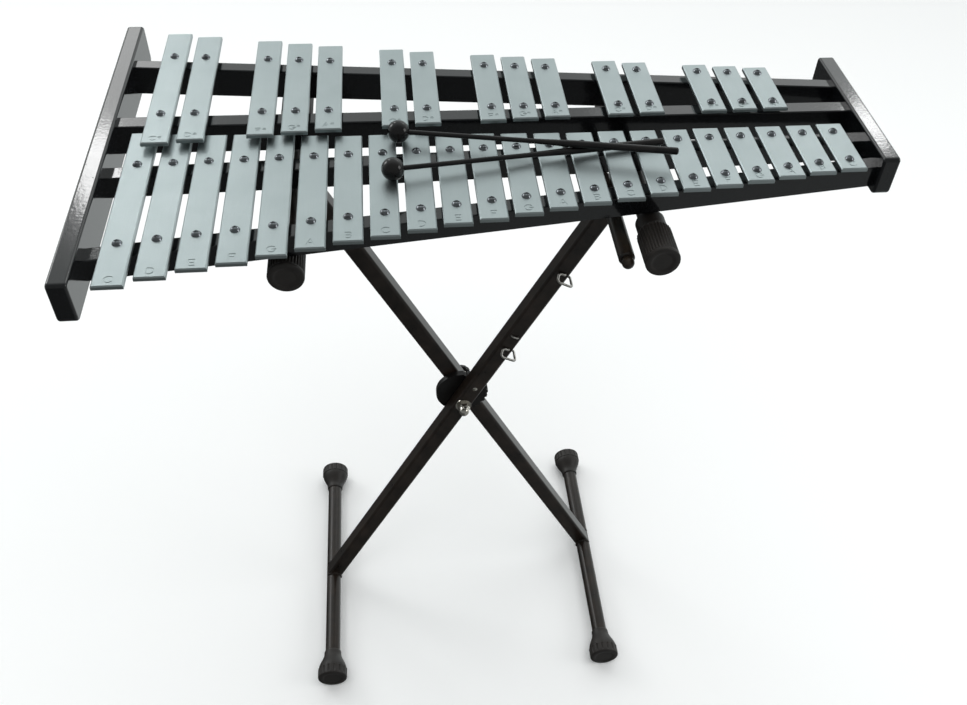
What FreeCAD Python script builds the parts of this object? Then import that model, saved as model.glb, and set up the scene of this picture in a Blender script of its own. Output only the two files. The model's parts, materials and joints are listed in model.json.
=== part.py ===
"""Two-row metal-bar glockenspiel (37 notes) on a folding X-stand, with two mallets.

Millimetres, +Z up, the player stands on the -Y side, low notes at -X.
The origin is on the floor, under the middle of the whole object.
One STEP file is written for each sub-part.
"""
import FreeCAD, Part
import math
import os

from FreeCAD import Placement, Rotation, Vector

# ---------------------------------------------------------------- bars
BAR_PITCH = 31.5
NATURAL_COUNT = 22
FIRST_BAR_X = -0.5 * BAR_PITCH * (NATURAL_COUNT - 1) - 0.5
NATURAL_SEMITONES = (0, 2, 4, 5, 7, 9, 11)
NATURAL_LETTERS = "cdefgab"
HAS_SHARP = (0, 1, 3, 4, 5)
FIRST_OCTAVE = 1

NATURAL_WIDTH = 25.5
NATURAL_LENGTH = 217.5
NATURAL_TOP = 760.0
NATURAL_SETBACK = 0.9

SHARP_WIDTH = 24.8
SHARP_LENGTH = 210.5
SHARP_TOP = 768.5
SHARP_SETBACK = 0.6
SHARP_SHIFT_X = -2.6

BAR_THICKNESS = 4.0
BAR_BEVEL = 1.0
SEMITONES_PER_HALVING = 24.0

# Lines of screws, y = at_first_bar + slope * (x - FIRST_BAR_X)
NATURAL_FRONT_LINE = (-154.85, 0.131)
NATURAL_BACK_LINE = (-42.25, 0.032)
SHARP_FRONT_LINE = (28.05, -0.007)
SHARP_BACK_LINE = (136.9, -0.097)

# Stamped note letters near the front end of each bar
LETTER_HEIGHT = 7.4
SHARP_LETTER_HEIGHT = 6.4
SHARP_SIGN_HEIGHT = 3.6
LETTER_STROKE = 1.1
SHARP_SIGN_STROKE = 0.6
LETTER_DEPTH = 0.35
LETTER_END_MARGIN = 4.2

# ---------------------------------------------------------------- bar fixings
SCREW_HEAD_RADIUS = 4.5
SCREW_HEAD_HEIGHT = 3.1
SCREW_SHANK_RADIUS = 1.95
SCREW_PILOT_RADIUS = 2.0
SCREW_HOLE_RADIUS = 2.25
SCREW_GRIP = 14.0
CROSS_WIDTH = 1.1
CROSS_LENGTH = 4.4
CROSS_DEPTH = 1.4
GROMMET_RADIUS = 5.0
GROMMET_HEIGHT = 5.5

# ---------------------------------------------------------------- wooden frame
BLOCK_THICKNESS = 17.0
BLOCK_INNER_X = 360.25
BLOCK_BOTTOM = 723.5
BLOCK_TOP = 764.6
LEFT_BLOCK_Y = (-210.85, 210.85)
RIGHT_BLOCK_Y = (-78.5, 115.95)
BLOCK_TOP_CORNER = 4.0
BLOCK_BOTTOM_CORNER = 6.0
BLOCK_EDGE_ROUND = 2.5

RAIL_BOTTOM = 729.4
RAIL_EDGE_ROUND = 1.5
RAIL_WIDTH = 18.0
BACK_RAIL_WIDTH = 15.5
NATURAL_RAIL_SHIFT = 2.5
SHARP_FRONT_RAIL_SHIFT = 2.0

FRAME_SCREW_HEAD_RADIUS = 4.0
FRAME_SCREW_HEAD_HEIGHT = 2.6
FRAME_SCREW_GRIP = 22.0

# ---------------------------------------------------------------- folding stand
LEG_ANGLE = 62.8
LEG_LOWER = 410.0
LEG_UPPER = 369.3
LEG_SIZE = 20.0
LEG_CORNER = 3.0
TUBE_WALL = 1.5
LEG_END_SHORTFALL = 3.0
REAR_LEG_Y = 16.5
PIVOT_X = -31.0

TUBE_RADIUS = 10.0
ARM_Y = (-149.8, 155.8)
FOOT_Y = (-176.5, 174.9)
FOOT_CAP_RADIUS = 19.5
PIVOT_Z = FOOT_CAP_RADIUS + LEG_LOWER * math.sin(math.radians(LEG_ANGLE))
MOVING_GAP = 0.3

SLEEVE_RADIUS = 16.5
SLEEVE_RIB_COUNT = 34
SLEEVE_RIB_DEPTH = 0.7
SLEEVE_FRONT_LENGTH = 38.0
SLEEVE_REAR_LENGTH = 80.0
SLEEVE_END_THICKNESS = 3.0
SLEEVE_LIP_LENGTH = 3.0
SLEEVE_COLLAR_RADIUS = 14.2
SLEEVE_COLLAR_LENGTH = 22.0
SLEEVE_A_BORE = 10.25

FOOT_CAP_RING = 14.0
FOOT_CAP_TAPER = 14.0
FOOT_CAP_COLLAR = 12.0
FOOT_CAP_COLLAR_RADIUS = 13.5
FOOT_CAP_END = 3.5
FOOT_CAP_ROUND = 2.0
FOOT_CAP_GROOVES = 16
FOOT_CAP_GROOVE = 1.3

# ---------------------------------------------------------------- pivot
PIVOT_BOLT_RADIUS = 4.0
PIVOT_CLEARANCE = 4.3
DISC_RADIUS = 32.0
DISC_THICKNESS = 3.4
DISC_GAP = 0.2
FRONT_LEG_Y = REAR_LEG_Y - LEG_SIZE - 2 * DISC_THICKNESS - DISC_GAP
DISC_NOTCHES = 12
DISC_NOTCH_RADIUS = 2.2
WASHER_RADIUS = 9.75
WASHER_THICKNESS = 1.6
NUT_ACROSS_FLATS = 13.0
NUT_HEX_HEIGHT = 6.5
NUT_DOME_RADIUS = 6.1
NUT_HEIGHT = 15.0
KNOB_RADIUS = 12.5
KNOB_HEIGHT = 9.5
KNOB_BOLT_DEPTH = 7.0
KNOB_FLUTES = 8
KNOB_FLUTE_RADIUS = 2.8
KNOB_FLUTE_OFFSET = 1.4

# ---------------------------------------------------------------- fittings on the front leg
ROD_RADIUS = 7.75
ROD_ALONG_LEG = 344.4
ROD_Y = (-130.0, -1.0)
ROD_SEAT_LENGTH = LEG_SIZE + 0.5
ROD_RELIEF = 0.6
ROD_RELIEF_LENGTH = 1.0
ROD_GROOVE_RADIUS = 5.2
ROD_GROOVE_LENGTH = 1.6
ROD_TIP_RADIUS = 6.0
RIVET_ALONG_LEG = 30.0
RIVET_HEAD_RADIUS = 2.9
RIVET_HEAD_HEIGHT = 1.4
RIVET_SHANK_RADIUS = 1.6
CLIP_ALONG_LEG = (100.0, 225.0)
CLIP_WIRE_RADIUS = 1.4
CLIP_BEND = 3.6
CLIP_END_BEND = 2.2
CLIP_ROOT = -4.0
CLIP_RISE = 6.0
CLIP_LEFT = 4.2
CLIP_REACH = 10.0
CLIP_OVERHANG = 4.8
CLIP_SIDE_Y = -3.0
STAPLE_ALONG_LEG = 127.0
STAPLE_LENGTH = 9.0
STAPLE_RADIUS = 2.5
STAPLE_WIRE_RADIUS = 1.0

# ---------------------------------------------------------------- mallets
MALLET_HEAD_RADIUS = 10.5
MALLET_SHAFT_RADIUS = 2.3
MALLET_GRIP_RADIUS = 3.4
MALLET_GRIP_LENGTH = 95.0
MALLET_TAPER_LENGTH = 40.0
MALLET_SOCKET_DEPTH = 8.0
REST_GAP = 0.3
UPPER_MALLET_HEAD = (-95.0, -17.2)
UPPER_MALLET_END = (161.0, -69.2)
UPPER_MALLET_RISE = 4.1
LOWER_MALLET_HEAD = (-101.9, -77.3)
LOWER_MALLET_END = (156.2, -35.6)

Y_AXIS = Vector(0, 1, 0)
Z_AXIS = Vector(0, 0, 1)


# ---------------------------------------------------------------- helpers
def box(x_range, y_range, z_range):
    """Return a box between two values on each axis."""
    corner = Vector(x_range[0], y_range[0], z_range[0])
    return Part.makeBox(
        x_range[1] - x_range[0], y_range[1] - y_range[0], z_range[1] - z_range[0], corner
    )


def cylinder_y(radius, x, y_range, z):
    """Return a cylinder along Y."""
    return Part.makeCylinder(radius, y_range[1] - y_range[0], Vector(x, y_range[0], z), Y_AXIS)


def cylinder_z(radius, x, y, z_range):
    """Return a cylinder along Z."""
    return Part.makeCylinder(radius, z_range[1] - z_range[0], Vector(x, y, z_range[0]), Z_AXIS)


def polygon_face(points):
    """Return a planar face inside a closed outline of points."""
    vectors = [Vector(*point) for point in points]
    return Part.Face(Part.makePolygon(vectors + vectors[:1]))


def turned(edges):
    """Return the solid turned about Z from a closed outline of edges in the XZ plane."""
    return Part.Face(Part.Wire(edges)).revolve(Vector(), Z_AXIS, 360.0)


def turned_points(points):
    """Return the solid turned about Z from straight runs between (radius, height) points."""
    outline = [(radius, 0.0, height) for radius, height in points]
    return polygon_face(outline).revolve(Vector(), Z_AXIS, 360.0)


def moved(shape, position=(0.0, 0.0, 0.0), z_onto=(0.0, 0.0, 1.0)):
    """Return a copy whose origin is at position and whose Z axis points along z_onto."""
    copy = shape.copy()
    copy.Placement = Placement(Vector(*position), Rotation(Z_AXIS, Vector(*z_onto)))
    return copy


def line_y(line, x):
    """Return the y of a screw line at x."""
    return line[0] + line[1] * (x - FIRST_BAR_X)


def save(name, *solids):
    """Write one sub-part, made of one or more separate solids."""
    shape = solids[0] if len(solids) == 1 else Part.makeCompound(list(solids))
    shape.exportStep(f"parts/{name}.step")


# ---------------------------------------------------------------- stamped letters
def line(x0, y0, x1, y1):
    """Return a straight stroke of a letter, as a fraction of its height."""
    return ("line", (x0, y0), (x1, y1))


def arc(x, y, radius, start, sweep):
    """Return a round stroke of a letter, in fractions of its height and degrees."""
    return ("arc", (x, y), (radius, start, sweep))


# Each letter stands on y = 0 and is 1 high, centred on x = 0
LETTERS = {
    "a": [line(-0.42, 0, 0, 1), line(0, 1, 0.42, 0), line(-0.27, 0.35, 0.27, 0.35)],
    "b": [
        line(-0.32, 0, -0.32, 1), line(-0.32, 0, 0.1, 0), line(-0.32, 0.5, 0.1, 0.5), line(-0.32, 1, 0.1, 1),
        arc(0.1, 0.25, 0.25, -90, 180), arc(0.1, 0.75, 0.25, -90, 180),
    ],
    "c": [arc(0.05, 0.5, 0.5, 45, 270)],
    "d": [
        line(-0.38, 0, -0.38, 1), line(-0.38, 0, -0.1, 0), line(-0.38, 1, -0.1, 1),
        arc(-0.1, 0.5, 0.5, -90, 180),
    ],
    "e": [
        line(-0.32, 0, -0.32, 1), line(-0.32, 0, 0.32, 0), line(-0.32, 0.5, 0.2, 0.5),
        line(-0.32, 1, 0.32, 1),
    ],
    "f": [line(-0.3, 0, -0.3, 1), line(-0.3, 0.5, 0.2, 0.5), line(-0.3, 1, 0.34, 1)],
    "g": [arc(0, 0.5, 0.5, 45, 315), line(0.5, 0.5, 0.12, 0.5)],
    "#": [
        line(-0.2, 0, -0.12, 1), line(0.12, 0, 0.2, 1), line(-0.4, 0.3, 0.36, 0.3),
        line(-0.36, 0.7, 0.4, 0.7),
    ],
}


def stroke_solid(stroke, height, width):
    """Return one stroke of a letter as a solid LETTER_DEPTH deep, with round ends."""
    kind, first, second = stroke
    depth = (-LETTER_DEPTH, 1.0)
    first = Vector(first[0] * height, first[1] * height, 0)
    if kind == "line":
        second = Vector(second[0] * height, second[1] * height, 0)
        run = second - first
        body = box((0, run.Length), (-0.5 * width, 0.5 * width), depth)
        body.Placement = Placement(first, Rotation(Vector(1, 0, 0), run))
        ends = [first, second]
    else:
        radius, start, sweep = second[0] * height, second[1], second[2]
        section = polygon_face([
            (radius - 0.5 * width, 0, depth[0]),
            (radius + 0.5 * width, 0, depth[0]),
            (radius + 0.5 * width, 0, depth[1]),
            (radius - 0.5 * width, 0, depth[1]),
        ])
        body = section.revolve(Vector(), Z_AXIS, sweep)
        body.Placement = Placement(first, Rotation(Z_AXIS, start))
        ends = []
        for turn in (start, start + sweep):
            angle = math.radians(turn)
            ends.append(first + Vector(radius * math.cos(angle), radius * math.sin(angle), 0))
    return [body] + [cylinder_z(0.5 * width, end.x, end.y, depth) for end in ends]


def letter_cutter(letter, height, width, x, y, z):
    """Return the cutter that stamps a letter, standing on y and centred on x, into a top face at z."""
    solids = []
    for stroke in LETTERS[letter]:
        solids += stroke_solid(stroke, height, width)
    cutter = solids[0].multiFuse(solids[1:])
    cutter.translate(Vector(x, y, z))
    return cutter


# ---------------------------------------------------------------- bars and their fixings
class Bar:
    """One tone bar: its place, length and two screw points."""

    def __init__(self, index, sharp):
        octave, step = divmod(index, len(NATURAL_SEMITONES))
        semitones = 12 * octave + NATURAL_SEMITONES[step] + (1 if sharp else 0)
        shrink = 2.0 ** (-semitones / SEMITONES_PER_HALVING)
        self.sharp = sharp
        self.octave = octave + FIRST_OCTAVE
        self.letter = NATURAL_LETTERS[step]
        self.x = FIRST_BAR_X + BAR_PITCH * index
        if sharp:
            self.x += 0.5 * BAR_PITCH + SHARP_SHIFT_X
        lines = (SHARP_FRONT_LINE, SHARP_BACK_LINE) if sharp else (NATURAL_FRONT_LINE, NATURAL_BACK_LINE)
        self.screws_y = [line_y(line, self.x) for line in lines]
        self.length = shrink * (SHARP_LENGTH if sharp else NATURAL_LENGTH)
        self.width = SHARP_WIDTH if sharp else NATURAL_WIDTH
        self.top = SHARP_TOP if sharp else NATURAL_TOP
        self.y = 0.5 * sum(self.screws_y) - (SHARP_SETBACK if sharp else NATURAL_SETBACK)

    def solid(self):
        """Return the bar with bevelled top edges and two screw holes."""
        x_range = (self.x - 0.5 * self.width, self.x + 0.5 * self.width)
        y_range = (self.y - 0.5 * self.length, self.y + 0.5 * self.length)
        bar = box(x_range, y_range, (self.top - BAR_THICKNESS, self.top))
        top_edges = [edge for edge in bar.Edges if edge.BoundBox.ZMin > self.top - 0.01]
        bar = bar.makeChamfer(BAR_BEVEL, top_edges)
        for y in self.screws_y:
            bar = bar.cut(cylinder_z(SCREW_HOLE_RADIUS, self.x, y, (self.top - 5.0, self.top + 1.0)))
        for stamp in self.stamps(y_range[0] + LETTER_END_MARGIN):
            bar = bar.cut(stamp)
        return bar

    def stamps(self, y):
        """Return the cutters of the note letter, and of the sharp sign beside it."""
        if not self.sharp:
            return [letter_cutter(self.letter, LETTER_HEIGHT, LETTER_STROKE, self.x, y, self.top)]
        height = SHARP_LETTER_HEIGHT
        sign_y = y + height - SHARP_SIGN_HEIGHT
        return [
            letter_cutter(self.letter, height, LETTER_STROKE, self.x - 0.35 * height, y, self.top),
            letter_cutter("#", SHARP_SIGN_HEIGHT, SHARP_SIGN_STROKE, self.x + 0.6 * height, sign_y, self.top),
        ]


def all_bars():
    """Return the natural bars and the sharp bars, low to high."""
    naturals = [Bar(index, False) for index in range(NATURAL_COUNT)]
    sharps = []
    for index in range(NATURAL_COUNT - 1):
        if index % len(NATURAL_SEMITONES) in HAS_SHARP:
            sharps.append(Bar(index, True))
    return naturals, sharps


def cross_recess(depth):
    """Return the cutter of a cross recess that reaches depth below z = 0."""
    half = 0.5 * CROSS_WIDTH
    reach = 0.5 * CROSS_LENGTH
    first = box((-reach, reach), (-half, half), (-depth, 5.0))
    second = box((-half, half), (-reach, reach), (-depth, 5.0))
    return first.fuse(second)


def bar_screw():
    """Return a domed wood screw with its seat at z = 0."""
    ball_radius = (SCREW_HEAD_RADIUS**2 + SCREW_HEAD_HEIGHT**2) / (2 * SCREW_HEAD_HEIGHT)
    centre = SCREW_HEAD_HEIGHT - ball_radius
    tilt = 0.5 * math.asin(SCREW_HEAD_RADIUS / ball_radius)
    middle = Vector(ball_radius * math.sin(tilt), 0, centre + ball_radius * math.cos(tilt))
    tail = -(BAR_THICKNESS + GROMMET_HEIGHT + SCREW_GRIP)
    corners = [
        Vector(SCREW_HEAD_RADIUS, 0, 0),
        Vector(SCREW_SHANK_RADIUS, 0, 0),
        Vector(SCREW_SHANK_RADIUS, 0, tail + SCREW_SHANK_RADIUS),
        Vector(0, 0, tail),
        Vector(0, 0, SCREW_HEAD_HEIGHT),
    ]
    edges = [Part.makeLine(first, second) for first, second in zip(corners, corners[1:])]
    edges.append(Part.Arc(corners[-1], middle, corners[0]).toShape())
    recess = cross_recess(CROSS_DEPTH)
    recess.translate(Vector(0, 0, SCREW_HEAD_HEIGHT))
    return turned(edges).cut(recess)


def grommet():
    """Return the soft spacer that holds a bar off its rail, with its foot at z = 0."""
    waist = GROMMET_RADIUS - 1.0
    return turned_points([
        (SCREW_HOLE_RADIUS, 0.0),
        (GROMMET_RADIUS, 0.0),
        (GROMMET_RADIUS, 0.3 * GROMMET_HEIGHT),
        (waist, 0.5 * GROMMET_HEIGHT),
        (GROMMET_RADIUS, 0.7 * GROMMET_HEIGHT),
        (GROMMET_RADIUS, GROMMET_HEIGHT),
        (SCREW_HOLE_RADIUS, GROMMET_HEIGHT),
    ])


def build_bars(naturals, sharps):
    """Write every bar, and the screws and grommets that hold them."""
    for bar in naturals:
        save(f"bar_{bar.letter}{bar.octave}", bar.solid())
    for octave in sorted({bar.octave for bar in sharps}):
        low = [bar for bar in sharps if bar.octave == octave and bar.letter in "cd"]
        high = [bar for bar in sharps if bar.octave == octave and bar.letter in "fga"]
        save(f"sharp_bars_cd{octave}", *[bar.solid() for bar in low])
        save(f"sharp_bars_fga{octave}", *[bar.solid() for bar in high])
    screw = bar_screw()
    spacer = grommet()
    screws = []
    spacers = []
    for bar in naturals + sharps:
        for y in bar.screws_y:
            screws.append(moved(screw, (bar.x, y, bar.top)))
            spacers.append(moved(spacer, (bar.x, y, bar.top - BAR_THICKNESS - GROMMET_HEIGHT)))
    save("bar_screws", *screws)
    save("bar_grommets", *spacers)


# ---------------------------------------------------------------- wooden frame
def rail(line, shift, width, top):
    """Return a rail under a screw line, cut square at the end blocks."""
    ends = (-BLOCK_INNER_X, BLOCK_INNER_X)
    half = 0.5 * width / math.cos(math.atan(line[1]))
    outline = [(x, line_y(line, x) + shift - half, RAIL_BOTTOM) for x in ends]
    outline += [(x, line_y(line, x) + shift + half, RAIL_BOTTOM) for x in reversed(ends)]
    shape = polygon_face(outline).extrude(Vector(0, 0, top - RAIL_BOTTOM))
    long_top_edges = [
        edge for edge in shape.Edges
        if edge.BoundBox.ZMin > top - 0.01 and edge.BoundBox.XLength > BLOCK_INNER_X
    ]
    return shape.makeFillet(RAIL_EDGE_ROUND, long_top_edges)


def end_block(x_range, y_range):
    """Return an end block with rounded corners and softened edges."""
    block = box(x_range, y_range, (BLOCK_BOTTOM, BLOCK_TOP))
    for z, radius in ((BLOCK_BOTTOM, BLOCK_BOTTOM_CORNER), (BLOCK_TOP, BLOCK_TOP_CORNER)):
        corners = [
            edge for edge in block.Edges
            if edge.BoundBox.XLength > BLOCK_EDGE_ROUND and abs(edge.CenterOfMass.z - z) < 0.01
        ]
        block = block.makeFillet(radius, corners)
    outlines = [edge for edge in block.Edges if edge.BoundBox.XLength < 0.01]
    return block.makeFillet(BLOCK_EDGE_ROUND, outlines)


def frame_screw():
    """Return a countersunk screw: its head is flush at z = 0 and its tip points down."""
    tail = -(BLOCK_THICKNESS + FRAME_SCREW_GRIP)
    shape = turned_points([
        (0.0, 0.0),
        (FRAME_SCREW_HEAD_RADIUS, 0.0),
        (SCREW_SHANK_RADIUS, -FRAME_SCREW_HEAD_HEIGHT),
        (SCREW_SHANK_RADIUS, tail + 3.0),
        (0.0, tail),
    ])
    return shape.cut(cross_recess(CROSS_DEPTH))


def frame_screw_hole():
    """Return the cutter that matches frame_screw."""
    grip_end = -(BLOCK_THICKNESS + FRAME_SCREW_GRIP)
    return turned_points([
        (0.0, 1.0),
        (FRAME_SCREW_HEAD_RADIUS + 0.05, 1.0),
        (FRAME_SCREW_HEAD_RADIUS + 0.05, 0.0),
        (SCREW_PILOT_RADIUS, -FRAME_SCREW_HEAD_HEIGHT),
        (SCREW_PILOT_RADIUS, grip_end),
        (0.0, grip_end),
    ])


def build_frame(naturals, sharps):
    """Write the two end blocks, the four rails and the screws that join them."""
    natural_top = NATURAL_TOP - BAR_THICKNESS - GROMMET_HEIGHT
    sharp_top = SHARP_TOP - BAR_THICKNESS - GROMMET_HEIGHT
    rails = {
        "natural_front_rail": (NATURAL_FRONT_LINE, NATURAL_RAIL_SHIFT, RAIL_WIDTH, natural_top),
        "natural_back_rail": (NATURAL_BACK_LINE, NATURAL_RAIL_SHIFT, RAIL_WIDTH, natural_top),
        "sharp_front_rail": (SHARP_FRONT_LINE, SHARP_FRONT_RAIL_SHIFT, RAIL_WIDTH, sharp_top),
        "sharp_back_rail": (SHARP_BACK_LINE, 0.0, BACK_RAIL_WIDTH, sharp_top),
    }
    outer = BLOCK_INNER_X + BLOCK_THICKNESS
    blocks = {
        -1: end_block((-outer, -BLOCK_INNER_X), LEFT_BLOCK_Y),
        1: end_block((BLOCK_INNER_X, outer), RIGHT_BLOCK_Y),
    }
    screws = []
    for name, (line, shift, width, top) in rails.items():
        shape = rail(line, shift, width, top)
        row = naturals if name.startswith("natural") else sharps
        pilots = [
            cylinder_z(SCREW_PILOT_RADIUS, bar.x, line_y(line, bar.x), (top - SCREW_GRIP - 1.0, top + 1.0))
            for bar in row
        ]
        for side in (-1, 1):
            centre = (side * outer, line_y(line, side * BLOCK_INNER_X) + shift, 0.5 * (RAIL_BOTTOM + top))
            hole = moved(frame_screw_hole(), centre, (side, 0, 0))
            pilots.append(hole)
            blocks[side] = blocks[side].cut(hole)
            screws.append(moved(frame_screw(), centre, (side, 0, 0)))
        save(name, shape.cut(Part.makeCompound(pilots)))
    save("left_end_block", blocks[-1])
    save("right_end_block", blocks[1])
    save("frame_screws", *screws)


# ---------------------------------------------------------------- folding stand
def leg_placement(side, y):
    """Place a leg: local X runs up the leg, local Y is world Y, the pivot is the origin.

    side is +1 for the leg that rises to the right and -1 for the other.
    """
    angle = LEG_ANGLE if side > 0 else 180.0 - LEG_ANGLE
    return Placement(Vector(PIVOT_X, y, PIVOT_Z), Rotation(Y_AXIS, -angle))


def on_leg(shape, side, y):
    """Return a copy of a shape moved from leg coordinates to its place."""
    copy = shape.copy()
    copy.Placement = leg_placement(side, y).multiply(copy.Placement)
    return copy


def leg_end(side, distance):
    """Return the (x, z) of the tube axis that far up a leg from the pivot."""
    angle = math.radians(LEG_ANGLE)
    return PIVOT_X + side * distance * math.cos(angle), PIVOT_Z + distance * math.sin(angle)


def leg(lower_cope, pivot_hole, front_wall_holes, side_wall_holes):
    """Return a square leg tube in leg coordinates, coped at both ends."""
    half = 0.5 * LEG_SIZE
    inner = half - TUBE_WALL
    along = (-LEG_LOWER + LEG_END_SHORTFALL, LEG_UPPER - LEG_END_SHORTFALL)
    shape = box(along, (-half, half), (-half, half))
    upright = [edge for edge in shape.Edges if edge.BoundBox.XLength > 1.0]
    shape = shape.makeFillet(LEG_CORNER, upright)
    cutters = [
        box((along[0] - 1.0, along[1] + 1.0), (-inner, inner), (-inner, inner)),
        cylinder_y(TUBE_RADIUS, LEG_UPPER, (-half - 1.0, half + 1.0), 0.0),
        cylinder_y(lower_cope, -LEG_LOWER, (-half - 1.0, half + 1.0), 0.0),
        cylinder_y(pivot_hole, 0.0, (-half - 1.0, half + 1.0), 0.0),
    ]
    for along_leg, across, radius in front_wall_holes:
        cutters.append(cylinder_y(radius, along_leg, (-half - 1.0, -inner + 1.0), across))
    for along_leg, y, radius in side_wall_holes:
        cutters.append(cylinder_z(radius, along_leg, y, (-half - 1.0, -inner + 1.0)))
    for cutter in cutters:
        shape = shape.cut(cutter)
    return shape


def round_tube(x, z, y_range):
    """Return a straight round tube along Y."""
    outer = cylinder_y(TUBE_RADIUS, x, y_range, z)
    return outer.cut(cylinder_y(TUBE_RADIUS - TUBE_WALL, x, (y_range[0] - 1.0, y_range[1] + 1.0), z))


def sleeve(length, bore, end_gap, collar):
    """Return a ribbed rubber sleeve: closed end at z = 0, open end up, tube end at z = end wall."""
    root = SLEEVE_RADIUS - SLEEVE_RIB_DEPTH
    outline = []
    step = 2.0 * math.pi / SLEEVE_RIB_COUNT
    for rib in range(SLEEVE_RIB_COUNT):
        for radius, share in ((root, -0.38), (SLEEVE_RADIUS, -0.22), (SLEEVE_RADIUS, 0.22), (root, 0.38)):
            angle = (rib + share) * step
            outline.append((radius * math.cos(angle), radius * math.sin(angle), SLEEVE_LIP_LENGTH))
    barrel = polygon_face(outline).extrude(Vector(0, 0, length - SLEEVE_LIP_LENGTH))
    lip = turned_points([
        (0.0, 0.6),
        (SLEEVE_RADIUS - 2.4, 0.6),
        (SLEEVE_RADIUS - 1.8, 0.0),
        (SLEEVE_RADIUS - 0.8, 0.0),
        (SLEEVE_RADIUS, 0.8),
        (SLEEVE_RADIUS, 2.0),
        (root, SLEEVE_LIP_LENGTH),
        (0.0, SLEEVE_LIP_LENGTH),
    ])
    shape = barrel.fuse(lip)
    total = length
    if collar:
        neck = cylinder_z(SLEEVE_COLLAR_RADIUS, 0, 0, (length - 1.0, length + SLEEVE_COLLAR_LENGTH))
        shape = shape.fuse(neck)
        total += SLEEVE_COLLAR_LENGTH
    return shape.cut(cylinder_z(bore, 0, 0, (SLEEVE_END_THICKNESS - end_gap, total + 1.0)))


def arm_sleeves(x, z, bore, end_gap):
    """Return the front and rear sleeves of one arm."""
    front = sleeve(SLEEVE_FRONT_LENGTH, bore, end_gap, True)
    rear = sleeve(SLEEVE_REAR_LENGTH, bore, end_gap, False)
    start = ARM_Y[0] - SLEEVE_END_THICKNESS
    end = ARM_Y[1] + SLEEVE_END_THICKNESS
    return [moved(front, (x, start, z), (0, 1, 0)), moved(rear, (x, end, z), (0, -1, 0))]


def foot_cap():
    """Return a rubber foot cap: flat end at z = 0, grooved ring, taper and collar."""
    ring_end = FOOT_CAP_RING
    taper_end = ring_end + FOOT_CAP_TAPER
    collar_end = taper_end + FOOT_CAP_COLLAR
    shape = turned_points([
        (0.0, 0.0),
        (FOOT_CAP_RADIUS - FOOT_CAP_ROUND, 0.0),
        (FOOT_CAP_RADIUS - 0.3 * FOOT_CAP_ROUND, 0.3 * FOOT_CAP_ROUND),
        (FOOT_CAP_RADIUS, FOOT_CAP_ROUND),
        (FOOT_CAP_RADIUS, ring_end),
        (FOOT_CAP_RADIUS - 0.8, ring_end + 2.5),
        (FOOT_CAP_COLLAR_RADIUS + 0.6, taper_end - 2.5),
        (FOOT_CAP_COLLAR_RADIUS, taper_end),
        (FOOT_CAP_COLLAR_RADIUS - 0.5, collar_end),
        (TUBE_RADIUS, collar_end),
        (TUBE_RADIUS, FOOT_CAP_END),
        (0.0, FOOT_CAP_END),
    ])
    half = 0.5 * FOOT_CAP_GROOVE
    groove = box(
        (FOOT_CAP_RADIUS - FOOT_CAP_GROOVE, FOOT_CAP_RADIUS + 1.0), (-half, half), (3.0, ring_end - 1.0)
    )
    grooves = []
    for index in range(FOOT_CAP_GROOVES):
        cutter = groove.copy()
        cutter.rotate(Vector(), Z_AXIS, (index + 0.5) * 360.0 / FOOT_CAP_GROOVES)
        grooves.append(cutter)
    return shape.cut(Part.makeCompound(grooves))


def foot_caps(x):
    """Return the two caps of one foot tube."""
    cap = foot_cap()
    start = FOOT_Y[0] - FOOT_CAP_END
    end = FOOT_Y[1] + FOOT_CAP_END
    return [
        moved(cap, (x, start, FOOT_CAP_RADIUS), (0, 1, 0)),
        moved(cap, (x, end, FOOT_CAP_RADIUS), (0, -1, 0)),
    ]


def clutch_disc(bore, y_range):
    """Return a clutch disc about the pivot, with rim notches from the top round the right side."""
    disc = cylinder_y(DISC_RADIUS, PIVOT_X, y_range, PIVOT_Z)
    disc = disc.cut(cylinder_y(bore, PIVOT_X, (y_range[0] - 1.0, y_range[1] + 1.0), PIVOT_Z))
    for index in range(DISC_NOTCHES):
        angle = math.radians(90.0 - (index + 0.5) * 180.0 / DISC_NOTCHES)
        x = PIVOT_X + DISC_RADIUS * math.cos(angle)
        z = PIVOT_Z + DISC_RADIUS * math.sin(angle)
        disc = disc.cut(cylinder_y(DISC_NOTCH_RADIUS, x, (y_range[0] - 1.0, y_range[1] + 1.0), z))
    return disc


def washer(y_start):
    """Return a plain washer on the pivot bolt."""
    y_range = (y_start, y_start + WASHER_THICKNESS)
    ring = cylinder_y(WASHER_RADIUS, PIVOT_X, y_range, PIVOT_Z)
    return ring.cut(cylinder_y(PIVOT_BOLT_RADIUS, PIVOT_X, (y_start - 1.0, y_start + 3.0), PIVOT_Z))


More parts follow.
